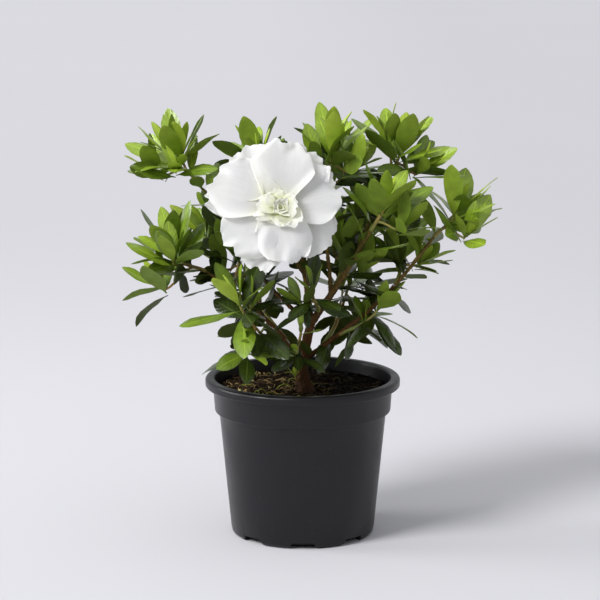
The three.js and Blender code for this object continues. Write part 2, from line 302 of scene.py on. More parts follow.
def crumb_finish(name, dark, light, roughness=0.85):
    """Straw, bark chips, feed grains and other small things that lie on the mix, darkened towards the right
    by painted shade.
    """
    made = Finish(name, roughness, Specular_IOR_Level=0.15)
    place = made.place()
    tint = made.ramp(made.noise(place, 300, 4, 0.65), [(0.32, dark), (0.68, light)])
    # Painted shade: each crumb's colour darkens towards the right.
    made.feed("Base Color", made.mix(1.0, tint, painted_shade_right(made, place), "MULTIPLY"))
    made.feed("Normal", made.bump(made.noise(place, 1500, 3), 0.0002, 0.6))
    return made.material


def bark(colours):
    """Bark from the dark foot, through red-brown boughs, to tan young wood."""
    made = Finish("bark", 0.8, Specular_IOR_Level=0.22)
    place = made.place()
    height = made.node("ShaderNodeSeparateXYZ")
    made.link(place, height.inputs[0])
    rise = made.node("ShaderNodeMapRange")
    rise.inputs["From Min"].default_value = TRUNK_LOW.z
    rise.inputs["From Max"].default_value = CAD_BOX[1][2]
    blur = made.maths("MULTIPLY", made.maths("SUBTRACT", made.noise(place, 60, 3), 0.5), 0.03)
    made.link(made.maths("ADD", height.outputs["Z"], blur), rise.inputs["Value"])
    age = made.ramp(rise.outputs[0], [(0.0, colours[0]), (0.16, colours[1]), (0.34, colours[2]),
                                      (0.7, colours[3])])
    streaks = made.noise(made.place(scale=(1, 1, 0.22)), 900, 5, 0.7)
    dark = made.grey_ramp(streaks, [(0.36, 0.42), (0.62, 1.0)])
    lichen = made.grey_ramp(made.noise(place, 240, 4), [(0.62, 0.0), (0.74, 0.3)])
    made.feed("Base Color", made.mix(lichen, made.mix(1.0, age, dark, "MULTIPLY"), (0.27, 0.15, 0.06)))
    made.feed("Normal", made.bump(streaks, 0.0005, 0.8))
    return made.material


def young_bark(colour, ruddy):
    """Smooth green to orange-brown skin of this year's shoots."""
    made = Finish("shoot_skin", 0.55)
    place = made.place()
    made.feed("Base Color", made.ramp(made.noise(place, 55, 3), [(0.36, colour), (0.66, ruddy)]))
    made.feed("Normal", made.bump(made.noise(place, 1400, 3), 0.0001, 0.6))
    return made.material


# Side veins down each half of a leaf, and how far they slant towards its tip.
VEIN_PAIRS = 8.0
VEIN_SLANT = 3.4


def leaf_top(name, colour, roughness):
    """Upper side of a leaf: half glossy, with sunk side veins and faint mottling."""
    made = Finish(name, roughness, Specular_IOR_Level=0.5, Coat_Weight=0.4, Coat_Roughness=0.16)
    place = made.place()
    mottle = made.noise(place, 95, 4, 0.6)
    base = made.ramp(mottle, [(0.28, shaded(colour, 0.72)), (0.72, shaded(colour, 1.25))])
    fine = made.noise(place, 900, 3)
    blade = made.node("ShaderNodeSeparateXYZ")
    made.link(made.place("UV"), blade.inputs[0])
    aside = made.maths("ABSOLUTE", made.maths("SUBTRACT", blade.outputs["X"], 0.5))
    along = made.maths("SUBTRACT", made.maths("MULTIPLY", blade.outputs["Y"], VEIN_PAIRS),
                       made.maths("MULTIPLY", aside, VEIN_SLANT))
    wave = made.maths("SINE", made.maths("MULTIPLY", along, 2 * math.pi))
    vein = made.grey_ramp(wave, [(0.86, 0.0), (1.0, 0.16)])
    margin = made.grey_ramp(aside, [(0.26, 0.0), (0.48, 0.6)])
    edged = made.mix(margin, base, shaded(colour, 0.6))
    made.feed("Base Color", made.mix(vein, edged, shaded(colour, 1.6)))
    made.feed("Roughness", made.grey_ramp(fine, [(0.3, roughness - 0.05), (0.7, roughness + 0.09)]))
    pores = made.bump(fine, 0.00008, 0.5)
    made.feed("Normal", made.bump(wave, 0.00012, 0.4, pores))
    return made.material


def leaf_soft(name, colour, roughness=0.6):
    """Midrib, stalk and the dull paler underside."""
    made = Finish(name, roughness, Specular_IOR_Level=0.25)
    place = made.place()
    made.feed("Base Color", made.ramp(made.noise(place, 140, 4),
                                      [(0.3, shaded(colour, 0.82)), (0.7, shaded(colour, 1.15))]))
    made.feed("Normal", made.bump(made.noise(place, 1100, 3), 0.0001, 0.5))
    return made.material


def petal_finish(name, white, throat, reach, tip_tint=0.0):
    """White petal: faint length veins, a soft sheen, and green towards the throat.

    The green fades over reach, a share of the petal's length, to tip_tint beyond it."""
    made = Finish(name, 0.55, Subsurface_Weight=0.5, Subsurface_Scale=0.008,
                  Subsurface_Radius=(1.0, 1.0, 0.8), Specular_IOR_Level=0.3)
    blade = made.node("ShaderNodeSeparateXYZ")
    made.link(made.place("UV"), blade.inputs[0])
    lines = made.noise(made.place("UV", (46, 2.2, 1)), 1.0, 3)
    veined = made.ramp(lines, [(0.3, shaded(white, 0.955)), (0.65, white)])
    green = made.grey_ramp(blade.outputs["Y"], [(0.0, 1.0), (reach, tip_tint)])
    made.feed("Base Color", made.mix(green, veined, throat))
    soft = made.bump(made.noise(made.place(), 90, 3), 0.0009, 0.35)
    made.feed("Normal", made.bump(lines, 0.00018, 0.5, soft))
    return made.material


def studio_paper(colour):
    """Pale matt paper, faintly clouded, with a painted light falloff that makes it a little darker to the
    right.
    """
    made = Finish("studio_paper", 0.9, Specular_IOR_Level=0.1)
    place = made.place()
    spread = made.node("ShaderNodeSeparateXYZ")
    made.link(place, spread.inputs[0])
    # Painted light falloff: the paper's colour darkens towards the right.
    painted_falloff = made.grey_ramp(made.maths("ADD", spread.outputs["X"], 0.5), [(0.4, 1.0), (0.8, 0.93)])
    cloud = made.ramp(made.noise(place, 1.3, 2), [(0.3, shaded(colour, 0.995)), (0.7, shaded(colour, 1.005))])
    made.feed("Base Color", made.mix(1.0, cloud, painted_falloff, "MULTIPLY"))
    return made.material


# ---------------------------------------------------------------- pot and mix

def raise_wall(name, profile, sides):
    """A turned wall: a ring drawn from height to height along (radius, height) pairs."""
    clear_selection()
    first_radius, first_height = profile[0]
    bpy.ops.mesh.primitive_circle_add(vertices=sides, radius=first_radius, fill_type="NOTHING",
                                      location=(0, 0, first_height))
    wall = bpy.context.object
    wall.name = name
    bpy.ops.object.transform_apply()
    bpy.ops.object.mode_set(mode="EDIT")
    bpy.ops.mesh.select_all(action="SELECT")
    for (radius, height), (next_radius, next_height) in zip(profile, profile[1:]):
        bpy.ops.mesh.extrude_region_move(
            TRANSFORM_OT_translate={"value": (0, 0, next_height - height)})
        share = next_radius / radius
        bpy.ops.transform.resize(value=(share, share, 1), center_override=(0, 0, next_height))
    bpy.ops.object.mode_set(mode="OBJECT")
    return wall


def close_ends(wall):
    """Fills the open rings at the two ends of a wall and turns its faces outwards."""
    make_active(wall)
    bpy.ops.object.mode_set(mode="EDIT")
    bpy.ops.mesh.select_all(action="DESELECT")
    bpy.ops.mesh.select_non_manifold()
    bpy.ops.mesh.edge_face_add()
    bpy.ops.mesh.select_all(action="SELECT")
    bpy.ops.mesh.normals_make_consistent(inside=False)
    bpy.ops.object.mode_set(mode="OBJECT")


def arc(centre, radius, start, end, steps):
    """Points of a round corner in a profile, between two angles in degrees."""
    points = []
    for step in range(steps + 1):
        angle = math.radians(start + (end - start) * step / steps)
        points.append((centre[0] + radius * math.cos(angle), centre[1] + radius * math.sin(angle)))
    return points


def pot_profile(size):
    """The pot's section: foot, taper, stepped collar, rolled rim, and the inside down to the floor."""
    top = size.height
    lip = size.rim_roll
    step = size.step_height
    collar_top = size.rim_radius - size.rim_overhang
    foot = size.foot_round
    wall = size.wall
    profile = arc((size.base_radius - foot, foot), foot, -90, -4, 5)
    profile += [(size.base_radius + (size.step_radius - size.base_radius) * share,
                 foot + (step - foot) * share) for share in (0.25, 0.5, 0.75)]
    profile += [(size.step_radius, step - 0.0002)]
    profile += arc((size.collar_radius - 0.0014, step + 0.0014), 0.0014, -80, 0, 4)
    profile += [(collar_top, top - size.rim_depth)]
    profile += [(size.rim_radius - 0.0008, top - size.rim_depth)]
    profile += arc((size.rim_radius - lip, top - size.rim_depth + lip), lip, -50, 0, 3)
    profile += arc((size.rim_radius - 0.0021, top - 0.0021), 0.0021, 0, 90, 5)
    profile += arc((collar_top - wall + 0.0019, top - 0.0013), 0.0013, 90, 180, 4)
    profile += [(collar_top - wall + 0.0002, top - 0.0034)]
    profile += [(size.collar_radius - wall, step + 0.0012)]
    profile += [(size.step_radius - wall, step - 0.0018)]
    profile += [(size.base_radius - wall, foot + size.floor)]
    profile += [(size.base_radius - foot, size.floor)]
    return profile


def cut_notches(pot, size):
    """Opens the drain notches round the pot's foot with one wedge, copied round the axis."""
    clear_selection()
    bpy.ops.mesh.primitive_cube_add(size=1, location=(0, -size.notch_reach, size.notch_height / 2))
    wedge = bpy.context.object
    wedge.scale = (size.notch_width, size.notch_depth, size.notch_height)
    bpy.ops.object.transform_apply()
    bpy.ops.object.mode_set(mode="EDIT")
    bpy.ops.mesh.select_all(action="DESELECT")
    bpy.ops.object.mode_set(mode="OBJECT")
    for vertex in wedge.data.vertices:
        vertex.select = vertex.co.z > size.notch_height / 2
    bpy.ops.object.mode_set(mode="EDIT")
    bpy.ops.transform.resize(value=(size.notch_taper, 1, 1), center_override=(0, 0, 0))
    bpy.ops.mesh.select_all(action="INVERT")
    bpy.ops.transform.translate(value=(0, 0, -size.notch_height / 4))
    bpy.ops.mesh.select_all(action="SELECT")
    for _ in range(size.notch_count - 1):
        bpy.ops.mesh.duplicate()
        bpy.ops.transform.rotate(value=2 * math.pi / size.notch_count, orient_axis="Z",
                                 center_override=(0, 0, 0))
    bpy.ops.mesh.select_all(action="SELECT")
    bpy.ops.mesh.normals_make_consistent(inside=False)
    bpy.ops.object.mode_set(mode="OBJECT")
    apply_modifier(pot, "BOOLEAN", operation="DIFFERENCE", object=wedge, solver="EXACT")
    bpy.data.objects.remove(wedge)


def build_pot(size):
    """The nursery pot: a turned wall, closed, with its notches cut and its edges rounded."""
    pot = raise_wall("nursery_pot", pot_profile(size), size.sides)
    close_ends(pot)
    cut_notches(pot, size)
    apply_modifier(pot, "BEVEL", width=size.edge_round, segments=2, limit_method="ANGLE",
                   angle_limit=math.radians(38), harden_normals=False)
    make_active(pot)
    bpy.ops.object.shade_smooth_by_angle(angle=math.radians(40))
    pot.data.materials.append(pot_plastic(tuple(size.colour)))
    finish_piece(pot, ["pot"])


def displace(piece, name, scale, strength, group=""):
    """Moves a surface in and out by a cloud pattern."""
    pattern = bpy.data.textures.new(name, "CLOUDS")
    pattern.noise_scale = scale
    pattern.noise_depth = 3
    apply_modifier(piece, "DISPLACE", texture=pattern, strength=strength, mid_level=0.5,
                   texture_coords="LOCAL", vertex_group=group)


def build_mix(size):
    """The peat: a plug with a chamfered foot and a crumbly top."""
    top = MIX_HIGH.z - size.mix_wave
    radius = MIX_HIGH.x
    edge = 0.0014
    under_top = top - 0.0002
    inner = size.step_radius - size.wall
    low = MIX_LOW.z
    profile = [(radius * 0.64, low), (size.base_radius - size.wall, low + 0.009),
               (inner - 0.0005, size.step_height - 0.003), (radius - 0.0002, size.step_height + 0.004),
               (radius - 0.0002, top - 0.0015), (radius - edge, top)]
    mix = raise_wall("potting_mix_top", profile, 96)
    make_active(mix)
    bpy.ops.object.mode_set(mode="EDIT")
    bpy.ops.mesh.select_all(action="DESELECT")
    bpy.ops.object.mode_set(mode="OBJECT")
    for vertex in mix.data.vertices:
        vertex.select = vertex.co.z > under_top
    bpy.ops.object.mode_set(mode="EDIT")
    rings = size.mix_rings
    for ring in range(rings):
        bpy.ops.mesh.extrude_region_move(TRANSFORM_OT_translate={"value": (0, 0, 0)})
        share = (rings - ring - 0.5) / (rings - ring + 0.5 if ring else rings)
        bpy.ops.transform.resize(value=(share, share, 1), center_override=(0, 0, top))
    bpy.ops.object.mode_set(mode="OBJECT")
    close_ends(mix)
    ground = mix.vertex_groups.new(name="ground")
    loose = [vertex.index for vertex in mix.data.vertices
             if vertex.co.z > under_top and vertex.co.xy.length < radius - 0.0025]
    ground.add(loose, 1.0, "REPLACE")
    displace(mix, "clods", 0.009, 0.0042, "ground")
    displace(mix, "crumbs", 0.0022, 0.0026, "ground")
    displace(mix, "grains", 0.0008, 0.0012, "ground")
    make_active(mix)
    bpy.ops.object.shade_smooth_by_angle(angle=math.radians(70))
    mix.data.materials.append(peat())
    finish_piece(mix, ["potting_mix"])
    return mix


def ground_height(mix, x, y):
    """The height of the mix under a point."""
    hit, place, _, _ = mix.ray_cast(Vector((x, y, POT_HIGH.z)), Vector((0, 0, -1)))
    return place.z if hit else MIX_HIGH.z


def tube(points, radii, sides):
    """A closed tube along points: its vertices and faces."""
    points = np.asarray(points)
    ways = np.gradient(points, axis=0)
    side = across(unit(ways[0]), np.array([0.31, 0.87, 0.21]))
    verts, faces = [], []
    for row, (point, way, radius) in enumerate(zip(points, ways, radii)):
        way = unit(way)
        side = across(way, side)
        other = np.cross(way, side)
        for step in range(sides):
            angle = 2 * math.pi * step / sides
            verts.append(point + (side * math.cos(angle) + other * math.sin(angle)) * radius)
        if row:
            start = (row - 1) * sides
            for step in range(sides):
                a, b = start + step, start + (step + 1) % sides
                faces.append((a, b, b + sides, a + sides))
    last = len(verts) - sides
    faces.append(tuple(range(sides - 1, -1, -1)))
    faces.append(tuple(range(last, last + sides)))
    return verts, faces


def build_crumbs(size, mix):
    """What lies on the peat: straw and root fibres, bark chips, pale grains and a few green blades."""
    rule = random.Random(size.crumb_seed)
    kinds = [
        crumb_finish("dark_fibre", (0.01, 0.006, 0.0035), (0.1, 0.062, 0.03)),
        crumb_finish("straw", (0.2, 0.13, 0.045), (0.45, 0.33, 0.14)),
        crumb_finish("bark_chip", (0.006, 0.004, 0.0025), (0.05, 0.028, 0.014)),
        crumb_finish("feed_grain", (0.5, 0.42, 0.13), (0.66, 0.58, 0.25), 0.5),
        crumb_finish("fallen_green", (0.13, 0.17, 0.02), (0.3, 0.33, 0.05), 0.5),
    ]
    crumbs = Pieces()
    reach = MIX_HIGH.x - 0.003
    trunk_room = 0.006
    trunk = Vector((0.5 * (TRUNK_LOW.x + TRUNK_HIGH.x), TRUNK_LOW.y + 0.0075))

    def spot(furthest_right=1.0):
        while True:
            angle, radius = rule.uniform(0, 2 * math.pi), reach * math.sqrt(rule.random())
            x, y = radius * math.cos(angle), radius * math.sin(angle)
            if (Vector((x, y)) - trunk).length > trunk_room and x < furthest_right:
                return x, y

    def fibre(length, radius, kind, rise, furthest_right=1.0):
        x, y = spot(furthest_right)
        way = rule.uniform(0, 2 * math.pi)
        bend = rule.uniform(-1.2, 1.2)
        points = []
        for step in range(6):
            share = step / 5
            if math.hypot(x, y) > reach:
                break
            lift = radius * 0.6 + rise * math.sin(math.pi * share)
            points.append((x, y, ground_height(mix, x, y) + lift))
            x += math.cos(way) * length / 5
            y += math.sin(way) * length / 5
            way += bend / 5
        if len(points) > 3:
            heights = np.convolve([p[2] for p in points], [0.25, 0.5, 0.25], "same")
            points = [(p[0], p[1], max(p[2], h)) for p, h in zip(points, heights)]
            radii = [radius * (0.5 + 0.5 * math.sin(math.pi * (i + 0.6) / (len(points) + 0.2)))
                     for i in range(len(points))]
            verts, faces = tube(points, radii, 5)
            crumbs.add(verts, faces, [kind] * len(faces))

    def chip(length, kind, flat, furthest_right=1.0):
        x, y = spot(furthest_right)
        turn = rule.uniform(0, math.pi)
        tilt = rule.uniform(-0.5, 0.5)
        z = ground_height(mix, x, y) + length * flat * 0.2
        verts = []
        for dx, dy, dz in ((-1, -1, -1), (1, -1, -1), (1, 1, -1), (-1, 1, -1),
                           (-1, -1, 1), (1, -1, 1), (1, 1, 1), (-1, 1, 1)):
            u = dx * length * rule.uniform(0.35, 0.5)
            v = dy * length * rule.uniform(0.16, 0.34)
            w = dz * length * flat * rule.uniform(0.3, 0.5) + u * tilt
            verts.append((x + u * math.cos(turn) - v * math.sin(turn),
                          y + u * math.sin(turn) + v * math.cos(turn), z + w))
        faces = [(0, 3, 2, 1), (4, 5, 6, 7), (0, 1, 5, 4), (1, 2, 6, 5), (2, 3, 7, 6), (3, 0, 4, 7)]
        crumbs.add(verts, faces, [kind] * 6)

    # Pale straw, grains and green blades lie only left of this line, on the side that the painted shade
    # leaves lighter.
    pale_crumb_edge = 4 * MM
    for _ in range(size.fibre_count):
        fibre(rule.uniform(0.005, 0.016), rule.uniform(0.00012, 0.0003), 0, rule.uniform(0, 0.002))
    for _ in range(size.fibre_count // 8):
        fibre(rule.uniform(0.004, 0.012), rule.uniform(0.00018, 0.00038), 1, rule.uniform(0, 0.0015))
    for _ in range(size.fibre_count // 10):
        fibre(rule.uniform(0.004, 0.011), rule.uniform(0.0003, 0.0006), 1, rule.uniform(0, 0.002), pale_crumb_edge)
    for _ in range(size.chip_count):
        chip(rule.uniform(0.0012, 0.0042), 2, rule.uniform(0.25, 0.6))
    for _ in range(size.grain_count):
        chip(rule.uniform(0.0018, 0.0028), 3, 0.9, pale_crumb_edge)
    for _ in range(size.green_count):
        fibre(rule.uniform(0.006, 0.014), 0.0005, 4, rule.uniform(0.0005, 0.0035), pale_crumb_edge)
    piece = crumbs.to_object("mix_crumbs", kinds)
    finish_piece(piece, [])


# ---------------------------------------------------------------- limbs

def solid_rings(node):
    """The middle and radius of each ring of a limb's solid, from its foot to its tip."""
    ring_gap = 1.4 * MM
    points = np.array([vertex.co[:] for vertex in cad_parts[node].data.vertices])
    points = np.unique(np.round(points, 5), axis=0)
    middle = points.mean(0)
    axis = np.linalg.svd(points - middle)[2][0]
    fork = np.array([TRUNK_HIGH.x, TRUNK_LOW.y, TRUNK_LOW.z])
    along = (points - middle) @ axis
    ends = points[along.argmin()], points[along.argmax()]
    if np.linalg.norm(ends[0] - fork) > np.linalg.norm(ends[1] - fork):
        along = -along
    order = along.argsort()
    breaks = np.where(np.diff(along[order]) > ring_gap)[0] + 1
    rings = [group for group in np.split(points[order], breaks) if len(group) > 4]
    return [(ring.mean(0), np.linalg.norm(ring - ring.mean(0), axis=1).mean()) for ring in rings]


def smooth_line(points, spacing):
    """Points at an even spacing along a smooth curve through the given ones."""
    points = [np.asarray(point, float) for point in points]
    padded = [2 * points[0] - points[1], *points, 2 * points[-1] - points[-2]]
    line = []
    for before, start, end, after in zip(padded, padded[1:], padded[2:], padded[3:]):
        steps = max(2, round(np.linalg.norm(end - start) / spacing))
        for step in range(steps):
            t = step / steps
            line.append(0.5 * (2 * start + (end - before) * t
                               + (2 * before - 5 * start + 4 * end - after) * t ** 2
                               + (3 * start - before - 3 * end + after) * t ** 3))
    line.append(points[-1])
    return np.array(line)


def arch(start, way, end, end_way, steps=12):
    """A curve that leaves a point one way and reaches another point another way."""
    reach = np.linalg.norm(end - start)
    line = []
    for step in range(steps + 1):
        t = step / steps
        line.append((2 * t ** 3 - 3 * t ** 2 + 1) * start + (t ** 3 - 2 * t ** 2 + t) * way * reach
                    + (3 * t ** 2 - 2 * t ** 3) * end + (t ** 3 - t ** 2) * end_way * reach)
    return np.array(line)


class Limb:
    """A line of points with the radius at each."""

    def __init__(self, points, radii):
        self.points = np.asarray(points)
        self.radii = np.asarray(radii)

    def way(self, index):
        ways = np.gradient(self.points, axis=0)
        return unit(ways[index])


def solid_limb(node, overlap):
    """A limb read from its solid, carried back a little into what it grows from."""
    rings = solid_rings(node)
    centres = [ring[0] for ring in rings]
    if overlap:
        centres.insert(0, centres[0] - unit(centres[1] - centres[0]) * overlap)
    points = smooth_line(centres, 1.5 * MM)
    shares = np.linspace(0, 1, len(points))
    radii = np.interp(shares, np.linspace(0, 1, len(rings)), [ring[1] for ring in rings])
    return Limb(points, radii)


def mass_shape(node):
    """The middle of a mass and its half widths."""
    low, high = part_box(node)
    return np.array((low + high) / 2), np.array((high - low) / 2)


def mass_distance(node, place):
    """How far a place is from the middle of a mass, counted in its half widths."""
    centre, half = mass_shape(node)
    return np.linalg.norm((centre - place) / half)


# Mean half widths from which a mass has all its leaves, full-grown ones, and one more side shoot.
FULL_MASS = 25 * MM
FULL_ROOM = 26 * MM
BIG_MASS = 29 * MM
# How low leaves hang over the mix and over the rim, and how steeply they may hang or be lifted clear.
OVER_MIX = 20 * MM
OVER_RIM = 17 * MM
STEEPEST_HANG = -0.95
MOST_LIFT = 0.15
# A leaf's green follows its light score: its youth in the rosette, and painted shade by where it sits in the
# crown.
GREEN_BANDS = ((0.3, "deep"), (0.58, "full"), (0.84, "fresh"))


class Plant:
    """The limbs read from the frame, and the shoots and sprays that the branching rule adds."""

    def __init__(self, size):
        self.size = size
        self.rule = random.Random(size.seed)
        self.wood = {"trunk": solid_limb("trunk", 0)}
        for name in [*BOUGHS, "flower_stalk"]:
            self.wood[name] = solid_limb(name, 2.5 * MM)
        self.shoots = []
        self.leaves = []
        self.buds = []

    def nearest_wood(self, place):
        """The point of a limb from which a shoot would best reach a place, from below."""
        best = None
        for limb in self.wood.values():
            for index in range(4, len(limb.points)):
                offset = place - limb.points[index]
                cost = np.linalg.norm(offset) + 0.6 * max(0.0, -offset[2])
                if best is None or cost < best[0]:
                    best = (cost, limb, index)
        return best[1], best[2]

    def grow(self):
        carried = {}
        for name in BOUGHS:
            tip = self.wood[name].points[-1]
            near = min(MASSES, key=lambda mass: mass_distance(mass, tip))
            carried[near] = name
        for mass in MASSES:
            self.fill_mass(mass, carried.get(mass))
        for name in BOUGHS:
            limb = self.wood[name]
            first = round(len(limb.points) * self.size.bare_share)
            self.clothe(limb.points[first:], self.size.leaf_spacing * 1.25, 0.82)
        self.sucker()

    def sucker(self):
        """A small shoot with young leaves low on the trunk, on its left."""
        trunk = self.wood["trunk"]
        start = trunk.points[round(len(trunk.points) * 0.16)]
        end = start + np.array([-6.0, -4.5, 4.0]) * MM
        shoot = Limb(arch(start, unit(end - start), end, UP, 6), np.linspace(0.7, 0.4, 7) * MM)
        self.shoots.append(shoot)
        for leaf in range(3):
            radial = turned(np.array([-1.0, 0.0, 0.0]), UP, leaf * GOLDEN_ANGLE)
            self.leaves.append({
                "base": end, "way": unit(radial * 0.6 + UP), "normal": unit(UP - radial * 0.4),
                "length": self.rule.uniform(6.5, 8.5) * MM, "width": self.rule.uniform(3.4, 4.2) * MM,
                "curve": 0.3, "fold": 0.2, "twist": 0.2, "roll": 0.0, "kind": "young"})

    def fill_mass(self, mass, bough):
        """The branching rule: a leader, side shoots in turn round it, and sprays of leaves on them all."""
        centre, half = mass_shape(mass)
        rule = self.rule
        outward = unit(centre * [1, 1, 0] + [0, 0, 1e-6])
        if bough:
            limb, index = self.wood[bough], len(self.wood[bough].points) - 1
        else:
            limb, index = self.nearest_wood(centre - UP * half[2])
        start, way = limb.points[index], limb.way(index)
        if not bough:
            way = unit(way * 0.5 + unit(centre - start))
        lift = unit(way * 0.5 + outward * rule.uniform(0.0, 0.3) + UP * 0.8)
        low = max(0.0, 1 - height_share(centre) / self.size.hang_height)
        tip = centre - lift * half * (self.size.rosette_drop - self.size.low_lift * low)
        leader_radius = min(limb.radii[index], self.size.shoot_radius * 1.5)
        leader_radii = np.linspace(leader_radius, self.size.shoot_radius * 0.8, 13)
        leader = Limb(arch(start, way, tip, lift), leader_radii)
        self.shoots.append(leader)
        full = min(1.0, half.mean() / FULL_MASS)
        full *= min(1.0, self.size.shade_thinning + 1.5 * height_share(centre))
        self.whorl(leader, half.mean(), round(self.size.whorl_leaves * full), 1.0)
        small = min(1.0, half.mean() / FULL_ROOM)
        self.clothe(leader.points, self.size.leaf_spacing, 0.9 * small)
        count = round(self.size.side_shoots * full) + (1 if bough and half.mean() > BIG_MASS else 0)
        spin = rule.uniform(0, 2 * math.pi)
        for side in range(count):
            index = round(len(leader.points) * (0.3 + 0.45 * (side + 0.5) / count))
            way = leader.way(index)
            radial = turned(across(way, outward), way, spin + side * GOLDEN_ANGLE)
            end_way = unit(radial * 0.4 + UP * 0.8)
            end = centre + (radial * 0.44 - UP * rule.uniform(0.15, 0.75)) * half
            shoot = Limb(arch(leader.points[index], unit(radial + way), end, end_way, 8),
                         np.linspace(self.size.shoot_radius * 0.9, self.size.shoot_radius * 0.6, 9))
            self.shoots.append(shoot)
            self.whorl(shoot, half.mean(), self.size.whorl_leaves - 2, 0.85)
            self.clothe(shoot.points, self.size.leaf_spacing, 0.8 * small)

    def whorl(self, shoot, room, count, scale):
        """A rosette at a shoot's tip: long leaves spread below, and young ones stand inside."""
        axis = shoot.way(-1)
        tip = shoot.points[-1]
        spin = self.rule.uniform(0, 2 * math.pi)
        reference = across(axis)
        scale = scale * min(1.0, room / FULL_ROOM) ** 0.8
        for leaf in range(count):
            inner = leaf / max(count - 1, 1)
            incline = math.radians(67 - 56 * inner ** 0.8 + self.rule.uniform(-8, 8))
            radial = turned(reference, axis, spin + leaf * GOLDEN_ANGLE)
            taper = 1.0 - 0.42 * inner ** 2.5
            length = self.size.leaf_length * scale * taper * self.rule.uniform(0.86, 1.12)
            base = tip - axis * (1 - inner) ** 1.5 * 7 * MM
            self.add_leaf(base, axis, radial, incline, length, inner)
        self.buds.append((tip, axis))

    def clothe(self, points, spacing, scale):
        """Single leaves in turn along a shoot or a bough."""
        spin = self.rule.uniform(0, 2 * math.pi)
        travelled = 0.0
        ways = np.gradient(points, axis=0)
        for index in range(len(points) - 2, 0, -1):
            travelled += np.linalg.norm(points[index + 1] - points[index])
            if travelled < spacing:
                continue
            travelled = self.rule.uniform(-0.2, 0.2) * spacing
            spin += GOLDEN_ANGLE
            axis = unit(ways[index])
            radial = turned(across(axis), axis, spin)
            incline = math.radians(self.rule.uniform(42, 78))
            self.add_leaf(points[index], axis, radial, incline,
                          self.size.leaf_length * scale * self.rule.uniform(0.72, 1.12), 0.0)

    def add_leaf(self, base, axis, radial, incline, length, inner):
        rule = self.rule
        way = axis * math.cos(incline) + radial * math.sin(incline)
        hang = max(0.0, 1 - height_share(base) / self.size.hang_height) * (1 - inner)
        rise = (0.16 + 0.85 * max(0.0, -way[2])) * (1 - hang)
        way = unit(way + UP * (rise - self.size.hang_pull * hang))
        least = (lowest_leaf(base + way * length) - base[2]) / length
        if way[2] < least:
            if least > MOST_LIFT:
                return
            slope = max(least, STEEPEST_HANG)
            way = across(UP, way) * math.sqrt(1 - slope ** 2) + UP * slope
        tip = base + way * length
        shape = {
            "base": base, "way": way, "normal": across(way, axis * 0.8 + UP * 0.6), "length": length,
            "width": length * (rule.uniform(0.33, 0.43) - 0.05 * inner),
            "curve": rule.uniform(-0.15, 0.6) * (1 - 0.7 * inner),
            "fold": rule.uniform(0.08, 0.32) + 0.2 * inner,
            "twist": rule.uniform(-0.4, 0.4), "roll": rule.uniform(-0.35, 0.35),
            "kind": self.leaf_kind(tip, inner),
        }
        if in_flower(tip) or in_flower((base + tip) / 2) or tip[2] < lowest_leaf(tip) - MM:
            return
        self.leaves.append(shape)

    def leaf_kind(self, place, inner):
        """Which green a leaf takes: brightest at the heart of a rosette, where the leaves are youngest, and
        deepest inside the crown and low in it, partly for older leaves and partly as painted shade.
        """
        high = np.array(CAD_BOX[1])
        core = np.array([0.0, 0.0, 0.62 * high[2]])
        offset = (place - core) / [high[0], high[1], 0.4 * high[2]]
        offset[2] = max(0.0, offset[2])
        # Painted shade: the nearer a leaf is to the crown's core, the darker its green; a leaf nearer its
        # rosette's heart, being younger, takes a brighter one.
        light = 0.5 * np.linalg.norm(offset) + 0.5 * inner + self.rule.uniform(-0.15, 0.15)
        # Painted shade: leaves in the lower half of the crown take darker greens.
        light -= 0.26 * max(0.0, 1 - 2 * height_share(place))
        return next((kind for limit, kind in GREEN_BANDS if light < limit), "young")


def lowest_leaf(place):
    """How low a leaf may hang: over the rim, or over the mix inside it."""
    inside = math.hypot(place[0], place[1]) < 0.7 * POT_HIGH.x
    return MIX_HIGH.z + OVER_MIX if inside else POT_HIGH.z + OVER_RIM


def in_flower(place):
    """Whether a place is inside the space that the flower's petals fill, or before it."""
    low, high = np.array(FLOWER_LOW), np.array(FLOWER_HIGH)
    offset = (place - (low + high) / 2) / ((high - low) / 2)
    offset[1] = max(0.0, offset[1])
    return offset @ offset < 0.9


def build_limbs(plant, size):
    """The trunk, boughs and their bark, welded at every fork, with a flare of root buttresses."""
    shapes = Pieces()
    for name, limb in plant.wood.items():
        verts, faces = tube(limb.points, limb.radii * (0.97 if name == "trunk" else size.bough_share), 14)
        shapes.add(verts, faces, [0] * len(faces))
    trunk = plant.wood["trunk"]
    foot = trunk.points[0]
    rule = random.Random(size.seed + 1)
    for root in range(size.root_count):
        angle = root * 2 * math.pi / size.root_count + rule.uniform(-0.4, 0.4)
        out = np.array([math.cos(angle), math.sin(angle), 0.0])
        spread = rule.uniform(7.5, 10.5) * MM
        start = trunk.points[7] + out * 1.5 * MM
        end = foot + out * spread - UP * 1.5 * MM
        points = arch(start, unit(-UP + out * 0.1), end, unit(out - UP * 0.3), 9)
        verts, faces = tube(points, np.linspace(2.8, 0.9, 10) * MM * rule.uniform(0.8, 1.1), 10)
        shapes.add(verts, faces, [0] * len(faces))
    limbs = shapes.to_object("trunk_and_boughs", [bark([tuple(size.bark_foot), tuple(size.bark_trunk),
                                                        tuple(size.bark_bough), tuple(size.bark_tip)])])
    apply_modifier(limbs, "REMESH", mode="VOXEL", voxel_size=0.00042, use_smooth_shade=True)
    apply_modifier(limbs, "SMOOTH", factor=0.5, iterations=3)
    displace(limbs, "bark_plates", 0.0028, 0.0012)
    displace(limbs, "bark_cracks", 0.0009, 0.00045)
    finish_piece(limbs, ["trunk", *BOUGHS, "flower_stalk"])


